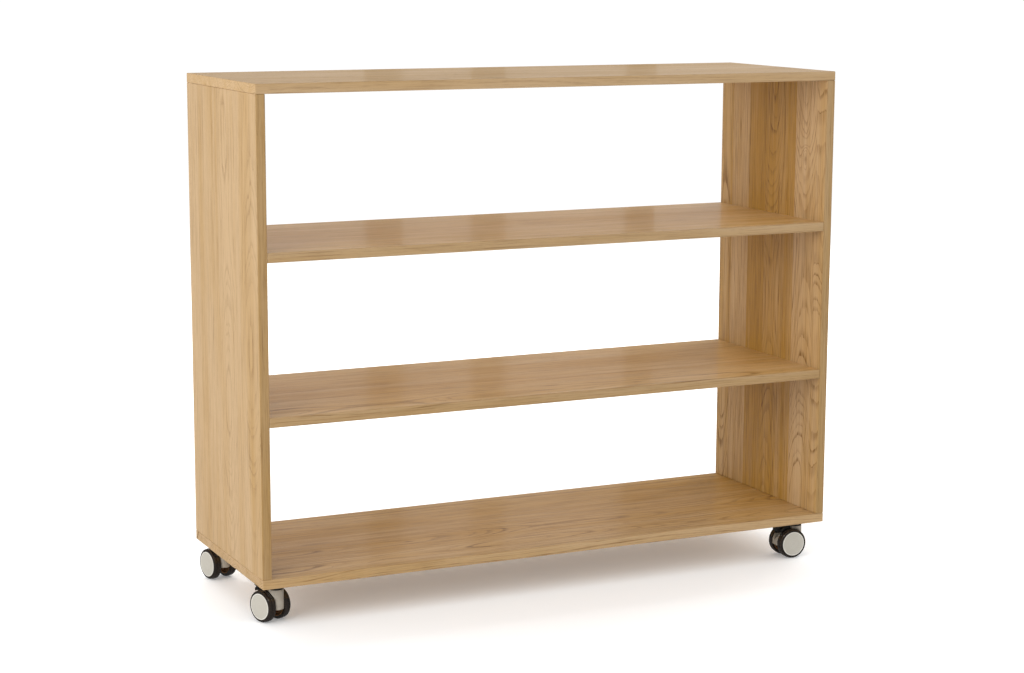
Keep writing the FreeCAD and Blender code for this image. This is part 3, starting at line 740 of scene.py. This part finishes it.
@dataclass
class Case:
    """The oak case: six boards, and the dowels inside their joints."""

    oak: Oak = Oak()
    beech: Beech = Beech()
    dowels: Tuple[str, ...] = ("case_dowels", "shelf_dowels")
    # Painted light: the top board and the shelves are made brighter than their colours say, and
    # every board's front and back edges darker, standing in for how the light falls on them.
    boards: Tuple[Board, ...] = (
        Board("top_board", Grain.ALONG, (
            Stave(0.0, 0.58, -0.16, 0.10),
            Stave(0.28, 0.52, -0.03, 0.09),
            Stave(0.445, 0.64, 0.16, -0.10),
            Stave(0.77, 0.50, 0.28, 0.09),
        ), seed=3.0, contrast=0.5, edge_tone=0.86, painted_edge_shading=0.80, gloss=0.17, bright=1.04),
        Board("bottom_board", Grain.ALONG, (
            Stave(0.0, 0.46, -0.15, 0.075),
            Stave(0.24, 0.30, -0.05, -0.07),
            Stave(0.60, 0.14, 0.22, 0.09),
            Stave(0.80, 0.22, 0.30, 0.06),
        ), seed=17.0, contrast=1.25, edge_tone=0.72, painted_edge_shading=0.88),
        Board("lower_shelf", Grain.ALONG, (
            Stave(0.0, 0.46, -0.17, -0.11),
            Stave(0.22, 0.40, 0.12, 0.13),
            Stave(0.52, 0.26, 0.24, -0.09),
            Stave(0.74, 0.42, -0.12, 0.13),
        ), seed=29.0, contrast=0.7, edge_tone=0.68, painted_edge_shading=0.77, bright=1.08),
        Board("upper_shelf", Grain.ALONG, (
            Stave(0.0, 0.52, -0.17, 0.12),
            Stave(0.30, 0.54, 0.14, -0.13),
            Stave(0.55, 0.44, 0.20, 0.10),
            Stave(0.80, 0.54, -0.14, 0.12),
        ), seed=41.0, contrast=0.6, edge_tone=0.72, painted_edge_shading=0.77, bright=1.13),
        Board("left_side", Grain.UPRIGHT, (
            Stave(0.0, 0.86, -0.17, 0.12),
            Stave(0.32, 0.96, -0.02, -0.09),
            Stave(0.61, 0.86, 0.26, 0.05),
            Stave(0.886, 1.0, -0.1, 0.14),
        ), seed=53.0, contrast=0.36, edge_tone=0.5, painted_edge_shading=0.74),
        Board("right_side", Grain.UPRIGHT, (
            Stave(0.0, 0.62, -0.18, 0.11),
            Stave(0.08, 0.66, -0.12, -0.07),
            Stave(0.27, 0.12, 0.10, 0.09),
            Stave(0.40, 0.16, 0.00, -0.07),
            Stave(0.55, 0.02, 0.26, 0.06),
            Stave(0.714, 0.60, 0.25, 0.12),
            Stave(0.88, 0.48, 0.18, -0.06),
        ), seed=67.0, contrast=0.9, knots=(Knot(0.809, -0.128, 14 * MM, 0.5),)),
    )

    def dress(self) -> None:
        """Give each board its oak, and the dowels theirs."""
        for board in self.boards:
            wear(board.node, self.oak.material(board))
        beech = self.beech.material()
        for node in self.dowels:
            wear(node, beech)


# ---------------------------------------------------------------------------
# castor finishes
# ---------------------------------------------------------------------------


@dataclass(frozen=True)
class Moulded:
    """Moulded or painted stuff: a fine skin, faint clouds, and dust that has settled on it.

    Attributes:
        name: The material's name.
        colour: Its own colour.
        cloudy: The colour of its clouds.
        rough: The lowest and highest roughness.
        skin: The height of its skin texture, in metres.
        skin_scale: How fine that texture is.
        dust: How much dust there is, from 0 to 1.
        metallic: How metallic it is, from 0 to 1.
        coat: How much clear coat it has, from 0 to 1.
        dust_colour: The dust's colour.
        cloud_scale: How fine its clouds are.
        speck_scale: How fine the dust's specks are.
        cloud_rough: The share of the clouds in the roughness; the skin has the rest.
        dust_rough: How much rougher dust makes it.
    """

    name: str
    colour: Colour
    cloudy: Colour
    rough: Tuple[float, float]
    skin: float
    skin_scale: float
    dust: float
    metallic: float = 0.0
    coat: float = 0.0
    dust_colour: Colour = (0.34, 0.30, 0.25)
    cloud_scale: float = 90.0
    speck_scale: float = 520.0
    cloud_rough: float = 0.6
    dust_rough: float = 0.4

    def material(self) -> bpy.types.Material:
        """The material."""
        g = Graph(self.name)
        point = g.vector(*g.place())
        cloud = g.noise(point, self.cloud_scale, 3.0, 0.6)
        grain = g.noise(point, self.skin_scale, 2.0)
        specks = g.noise(point, self.speck_scale, 3.0, 0.7)
        colour = g.blend(g.ease(cloud, 0.35, 0.65), self.colour, self.cloudy)
        settled = g.times(g.ease(specks, 0.5, 0.72), g.ease(cloud, 0.4, 0.62, 0.1, 1.0))
        settled = g.times(settled, self.dust)
        colour = g.blend(settled, colour, self.dust_colour)
        least, most = self.rough
        share = g.add(g.times(cloud, self.cloud_rough), g.times(grain, 1.0 - self.cloud_rough))
        rough = g.add(g.line(share, most - least, least), g.times(settled, self.dust_rough))
        return g.shade(
            Base_Color=colour,
            Roughness=rough,
            Metallic=self.metallic,
            Coat_Weight=self.coat,
            Coat_Roughness=0.08,
            Normal=g.bump(grain, self.skin, 0.6),
        )


@dataclass(frozen=True)
class Lip:
    """The raised lip round a wheel's cap, and the crease inside it.

    Attributes:
        colour: Its colour.
        width: Its width.
        crease: How far inside it the crease lies.
        crease_size: Half the width of the painted shade's darkest part in the crease, and of all
            of it.
        crease_painted_shade: How dark the painted shade in the crease is, from 0 to 1.
        blur: Half the width over which the lip's colour sets in.
    """

    colour: Colour
    width: float = 2.0 * MM
    crease: float = 0.35 * MM
    crease_size: Tuple[float, float] = (0.1 * MM, 0.6 * MM)
    crease_painted_shade: float = 0.5
    blur: float = 0.1 * MM

    def over(self, g: Graph, colour: Socket, shadow: Colour, radius: Socket,
             outside: float) -> Socket:
        """The lip's colours over a piece's own.

        Args:
            g: The graph.
            colour: The piece's own colour.
            shadow: The colour of the painted shade in the crease.
            radius: The distance from the axle.
            outside: The piece's outer radius.

        Returns:
            The colour with the lip.
        """
        inner = outside - self.width
        # Painted shade: a dark band along the crease inside the lip.
        away = g.math("ABSOLUTE", g.minus(radius, inner - self.crease))
        crease = g.ease(away, *self.crease_size, self.crease_painted_shade, 0.0)
        colour = g.blend(crease, colour, shadow)
        return g.blend(g.ease(radius, inner - self.blur, inner + self.blur), colour, self.colour)


@dataclass(frozen=True)
class Turned:
    """Stuff with fine rings round an axle, as a mould or a lathe leaves them.

    Attributes:
        name: The material's name.
        colour: Its own colour.
        ring_colour: The colour in the rings.
        rough: The lowest and highest roughness.
        pitch: The distance from ring to ring.
        height: The height of the rings and of the skin texture.
        metallic: How metallic it is, from 0 to 1.
        coat: How much clear coat it has, from 0 to 1.
        lip: Its raised lip, if it has one.
        cloud_scale: How fine its clouds are.
        skin_scale: How fine its skin texture is.
        band: The width of the bands that its ring colour comes in.
    """

    name: str
    colour: Colour
    ring_colour: Colour
    rough: Tuple[float, float]
    pitch: float = 0.35 * MM
    height: float = 0.02 * MM
    metallic: float = 0.0
    coat: float = 0.0
    lip: Optional[Lip] = None
    cloud_scale: float = 120.0
    skin_scale: float = 1500.0
    band: float = 1.6 * MM

    def material(self, centre: Vector, axle: Vector, outside: float,
                 tag: str) -> bpy.types.Material:
        """The material of one wheel's piece.

        The distance from the axle is the length of the cross product of the point's offset
        from the centre and the axle's direction.

        Args:
            centre: A point on the axle.
            axle: The axle's direction, one long.
            outside: The piece's outer radius.
            tag: What sets this material's name apart.

        Returns:
            The material.
        """
        g = Graph(f"{self.name}_{tag}")
        coordinates = g.node("ShaderNodeTexCoord")
        offset = g.node("ShaderNodeVectorMath", operation="SUBTRACT")
        g.feed(offset.inputs[0], coordinates.outputs["Object"])
        offset.inputs[1].default_value = centre
        cross = g.node("ShaderNodeVectorMath", operation="CROSS_PRODUCT")
        g.feed(cross.inputs[0], offset.outputs[0])
        cross.inputs[1].default_value = axle
        length = g.node("ShaderNodeVectorMath", operation="LENGTH")
        g.feed(length.inputs[0], cross.outputs[0])
        radius = length.outputs["Value"]
        cloud = g.noise(offset.outputs[0], self.cloud_scale, 3.0, 0.6)
        grain = g.noise(offset.outputs[0], self.skin_scale, 2.0)
        turns = g.add(g.over(radius, self.pitch), g.times(cloud, 0.6))
        ridge = g.math("SINE", g.times(turns, 2 * math.pi))
        uneven = g.drift(g.over(radius, self.band))[0]
        share = g.add(g.times(uneven, 0.8), g.times(cloud, 0.3))
        colour = g.blend(g.ease(share, 0.35, 0.8), self.colour, self.ring_colour)
        if self.lip is not None:
            colour = self.lip.over(g, colour, self.ring_colour, radius, outside)
        least, most = self.rough
        mixed = g.add(g.times(cloud, 0.5), g.times(grain, 0.5))
        return g.shade(
            Base_Color=colour,
            Roughness=g.line(mixed, most - least, least),
            Metallic=self.metallic,
            Coat_Weight=self.coat,
            Coat_Roughness=0.06,
            Normal=g.bump(g.add(g.times(ridge, 0.5), grain), self.height, 0.5),
        )


@dataclass
class Castors:
    """The four castors: what stays with the case, what swivels, and what rolls.

    Attributes:
        names: The castors.
        braked: The ones that have a brake.
        paint, zinc, casting, nylon: The finishes that all the castors share.
        tyre, hub, cap: The finishes of a wheel's three pieces, with painted reflection of the
            wood in the brown of the tyre and of the hub.
    """

    names: Tuple[str, ...] = ("front_left", "back_left", "front_right", "back_right")
    braked: Tuple[str, ...] = ("front_left", "front_right")
    paint: Moulded = Moulded(
        "black_powder_coat", (0.012, 0.012, 0.012), (0.02, 0.019, 0.018), (0.38, 0.6),
        0.03 * MM, 900.0, 0.12,
    )
    zinc: Moulded = Moulded(
        "zinc_plate", (0.52, 0.52, 0.50), (0.40, 0.41, 0.40), (0.22, 0.42), 0.01 * MM, 1400.0,
        0.08, metallic=1.0,
    )
    casting: Moulded = Moulded(
        "grey_casting", (0.40, 0.36, 0.30), (0.34, 0.30, 0.245), (0.32, 0.5), 0.02 * MM, 1200.0,
        0.10, coat=0.15,
    )
    nylon: Moulded = Moulded(
        "black_nylon", (0.010, 0.010, 0.010), (0.018, 0.017, 0.016), (0.22, 0.4), 0.012 * MM,
        1500.0, 0.10, coat=0.1,
    )
    # Painted reflection: the tyre's black, and its lighter bands, are tinted brown to stand in
    # for the wood and the floor mirrored in it.
    tyre: Turned = Turned(
        "black_tyre_with_painted_reflection", (0.014, 0.0105, 0.0085), (0.036, 0.025, 0.018), (0.13, 0.3), coat=0.8,
    )
    # Painted reflection: the hub's bronze-brown stands in for the wood mirrored on its glossy
    # dark rings.
    hub: Turned = Turned(
        "hub_with_painted_reflection", (0.42, 0.20, 0.075), (0.16, 0.075, 0.030), (0.25, 0.45), metallic=0.7,
    )
    cap: Turned = Turned(
        "grey_cap", (0.49, 0.465, 0.405), (0.445, 0.42, 0.365), (0.3, 0.42), 0.5 * MM,
        0.006 * MM, coat=0.2, lip=Lip((0.65, 0.63, 0.57)),
    )

    def axle_of(self, name: str) -> Tuple[Vector, Vector]:
        """A castor's axle.

        Args:
            name: The castor.

        Returns:
            The point midway between its wheels, and the axle's direction.
        """
        joint = next(j for j in frame["joints"] if j["name"] == f"{name}_right_wheel_spin")
        return Vector(joint["pos_m"]), Vector(joint["axis"]).normalized()

    def dress_fixed(self) -> None:
        """Give every piece that doesn't roll its finish."""
        paint, zinc = self.paint.material(), self.zinc.material()
        casting, nylon = self.casting.material(), self.nylon.material()
        pieces = {
            "mounting_plate": paint,
            "plate_screws": zinc,
            "swivel_bearing": nylon,
            "housing": casting,
            "kingpin": zinc,
            "axle": zinc,
        }
        brake = {"brake_lever": nylon, "brake_pin": zinc}
        for name in self.names:
            worn = {**pieces, **brake} if name in self.braked else pieces
            for piece, finish in worn.items():
                wear(f"{name}_{piece}", finish)

    def dress_wheels(self) -> None:
        """Give every wheel's pieces their finishes, turned round their own axle."""
        for name in self.names:
            centre, axle = self.axle_of(name)
            for piece, finish in (("tyre", self.tyre), ("hub", self.hub), ("cap", self.cap)):
                low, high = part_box(f"{name}_right_wheel_{piece}")
                dressed = finish.material(centre, axle, (high.z - low.z) / 2, name)
                for wheel in ("right_wheel", "left_wheel"):
                    wear(f"{name}_{wheel}_{piece}", dressed)

    def dress(self) -> None:
        """Give every piece of every castor its finish."""
        self.dress_fixed()
        self.dress_wheels()


def wear(node: str, material: bpy.types.Material) -> None:
    """Put a material on a part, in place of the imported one.

    Args:
        node: The part's name.
        material: The material.
    """
    piece = frame["nodes"][node]
    piece.data.materials.clear()
    piece.data.materials.append(material)
    log.info("%s wears %s", node, material.name)


# ---------------------------------------------------------------------------
# studio and camera
# ---------------------------------------------------------------------------


@dataclass(frozen=True)
class Panel:
    """A soft light panel.

    Attributes:
        name: Its name.
        place: Where its middle is.
        towards: The point that it faces.
        width: Its width.
        height: Its height.
        glow: How bright it looks, where 1 is white.
        mirrored: Whether shiny surfaces mirror it.
        lights: Whether it lights anything.
    """

    name: str
    place: Tuple[float, float, float]
    towards: Tuple[float, float, float]
    width: float
    height: float
    glow: float
    mirrored: bool = True
    lights: bool = True

    def light(self) -> None:
        """Hang the panel, unseen by the camera.

        Its power in watts is pi times its glow, times its area.
        """
        data = bpy.data.lights.new(self.name, "AREA")
        data.shape = "RECTANGLE"
        data.size, data.size_y = self.width, self.height
        data.energy = math.pi * self.glow * self.width * self.height
        lamp = bpy.data.objects.new(self.name, data)
        lamp.location = self.place
        aim = Vector(self.towards) - Vector(self.place)
        lamp.rotation_euler = aim.to_track_quat("-Z", "Y").to_euler()
        lamp.visible_camera = False
        lamp.visible_glossy = self.mirrored
        lamp.visible_diffuse = self.lights
        bpy.context.scene.collection.objects.link(lamp)


@dataclass(frozen=True)
class Camera:
    """The camera.

    Attributes:
        place: Where it stands.
        azimuth: How far it is turned from +Y towards +X, in degrees.
        dip: How far it looks down, in degrees.
        roll: How far it is turned about its own view, in degrees.
        lens: Its focal length, in millimetres.
        sensor: The width of its sensor, in millimetres.
        sight: How far it sees.
    """

    place: Tuple[float, float, float] = (-1.856, -3.886, 1.206)
    azimuth: float = 25.432
    dip: float = 9.7238
    roll: float = 0.2246
    lens: float = 77.83
    sensor: float = 36.0
    sight: float = 500.0

    def ahead(self) -> Vector:
        """The direction it looks in."""
        turn, dip = math.radians(self.azimuth), math.radians(self.dip)
        return Vector((math.sin(turn) * math.cos(dip), math.cos(turn) * math.cos(dip),
                       -math.sin(dip)))

    def stand(self) -> None:
        """Put the camera in the scene."""
        turn, roll = math.radians(self.azimuth), math.radians(self.roll)
        ahead = self.ahead()
        level = Vector((math.cos(turn), -math.sin(turn), 0.0))
        upright = level.cross(ahead)
        right = level * math.cos(roll) + upright * math.sin(roll)
        up = upright * math.cos(roll) - level * math.sin(roll)
        data = bpy.data.cameras.new("camera")
        data.lens, data.sensor_width = self.lens, self.sensor
        data.clip_end = self.sight
        seen = bpy.data.objects.new("camera", data)
        axes = Matrix((right, up, -ahead)).transposed().to_4x4()
        seen.matrix_world = Matrix.Translation(self.place) @ axes
        bpy.context.scene.collection.objects.link(seen)
        bpy.context.scene.camera = seen


@dataclass
class Studio:
    """A plain pale floor, an even pale surround, and soft light panels.

    Attributes:
        floor_reach: Half the floor's width.
        surround: How bright the surround is to matt surfaces.
        glossy_surround: How bright lacquer mirrors it.
        panel_glow: How bright lacquer mirrors the row of panels behind the cart.
        floor_colour: The floor's colour.
        floor_glow: How much the floor shines by itself.
        row_top: How high the row's panels reach.
        row: Each panel's distance from the camera, its left and right edges, and its foot.
        hung: The other panels.
    """

    floor_reach: float = 120.0
    surround: float = 1.2
    glossy_surround: float = 0.13
    panel_glow: float = 0.40
    floor_colour: Colour = (0.9, 0.9, 0.9)
    floor_glow: float = 0.18
    row_top: float = 4.0
    row: Tuple[Tuple[float, float, float, float], ...] = (
        (9.0, -1.6, -0.60, 0.0),
        (9.0, -0.45, -0.17, 0.0),
        (9.0, -0.03, 0.46, 0.0),
        (5.6, 0.36, 1.0, 0.62),
    )
    hung: Tuple[Panel, ...] = (
        Panel("left_panel", (-4.0, -2.0, 2.2), (0.0, 0.0, 0.5), 2.6, 2.6, 4.1, mirrored=False),
        Panel("far_panel", (0.4, 3.6, 2.3), (0.0, 0.0, 0.4), 4.0, 2.0, 4.3, mirrored=False),
        Panel("right_panel", (4.0, 2.2, 2.4), (-0.4, 0.0, 0.5), 2.6, 2.2, 4.3, mirrored=False),
        Panel("high_panel", (-2.4, -3.4, 3.4), (0.0, 0.0, 0.2), 1.4, 0.9, 8.0, lights=False),
    )

    def panels(self, camera: Camera) -> List[Panel]:
        """The panels: the ones that hang about the cart, and a row of tall ones behind it.

        Args:
            camera: The camera that the row stands across from.

        Returns:
            The panels.
        """
        made = list(self.hung)
        ahead = camera.ahead()
        level = Vector((ahead.x, ahead.y, 0.0)).normalized()
        across = Vector((level.y, -level.x, 0.0))
        for index, (reach, start, end, foot) in enumerate(self.row):
            middle = Vector((camera.place[0], camera.place[1], 0.0)) + level * reach
            middle += across * (start + end) / 2
            height = self.row_top - foot
            place = (middle.x, middle.y, foot + height / 2)
            towards = (middle.x - level.x, middle.y - level.y, foot + height / 2)
            made.append(Panel(f"back_panel_{index}", place, towards, end - start, height,
                              self.panel_glow, lights=False))
        return made

    def lay_floor(self) -> None:
        """Lay a level square of floor under the cart."""
        reach = self.floor_reach
        corners = np.array([(-1, -1, 0), (1, -1, 0), (1, 1, 0), (-1, 1, 0)], float) * reach
        mesh = bpy.data.meshes.new("floor")
        mesh.from_pydata(corners.tolist(), [], [(0, 1, 2, 3)])
        floor = bpy.data.objects.new("floor", mesh)
        bpy.context.scene.collection.objects.link(floor)
        g = Graph("pale_floor")
        x, y, z = g.place()
        cloud = g.noise(g.vector(x, y, z), 1.5, 2.0)
        rough = g.line(cloud, 0.1, 0.6)
        mesh.materials.append(
            g.shade(Base_Color=self.floor_colour, Roughness=rough, Specular_IOR_Level=0.0,
                    Emission_Color=self.floor_colour, Emission_Strength=self.floor_glow)
        )
        floor.visible_glossy = False

    def light(self, camera: Camera) -> None:
        """Light the surround and hang the panels.

        Args:
            camera: The camera that the row of panels stands across from.
        """
        world = bpy.data.worlds.new("surround")
        world.use_nodes = True
        tree = world.node_tree
        tree.nodes.clear()
        path = tree.nodes.new("ShaderNodeLightPath")
        glossy = tree.nodes.new("ShaderNodeMath")
        glossy.operation = "MULTIPLY_ADD"
        glossy.inputs[1].default_value = self.glossy_surround - self.surround
        glossy.inputs[2].default_value = self.surround
        tree.links.new(path.outputs["Is Glossy Ray"], glossy.inputs[0])
        background = tree.nodes.new("ShaderNodeBackground")
        tree.links.new(glossy.outputs[0], background.inputs["Strength"])
        output = tree.nodes.new("ShaderNodeOutputWorld")
        tree.links.new(background.outputs[0], output.inputs[0])
        bpy.context.scene.world = world
        for panel in self.panels(camera):
            panel.light()

    def build(self, camera: Camera) -> None:
        """Set up the whole studio.

        Args:
            camera: The camera.
        """
        bpy.context.scene.view_settings.view_transform = "Standard"
        self.lay_floor()
        self.light(camera)
        camera.stand()


def main() -> None:
    """Dress the cart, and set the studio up."""
    logging.basicConfig(level=logging.INFO, format="%(message)s")
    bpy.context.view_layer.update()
    Case().dress()
    Castors().dress()
    Studio().build(Camera())


if __name__ == "__main__":
    main()
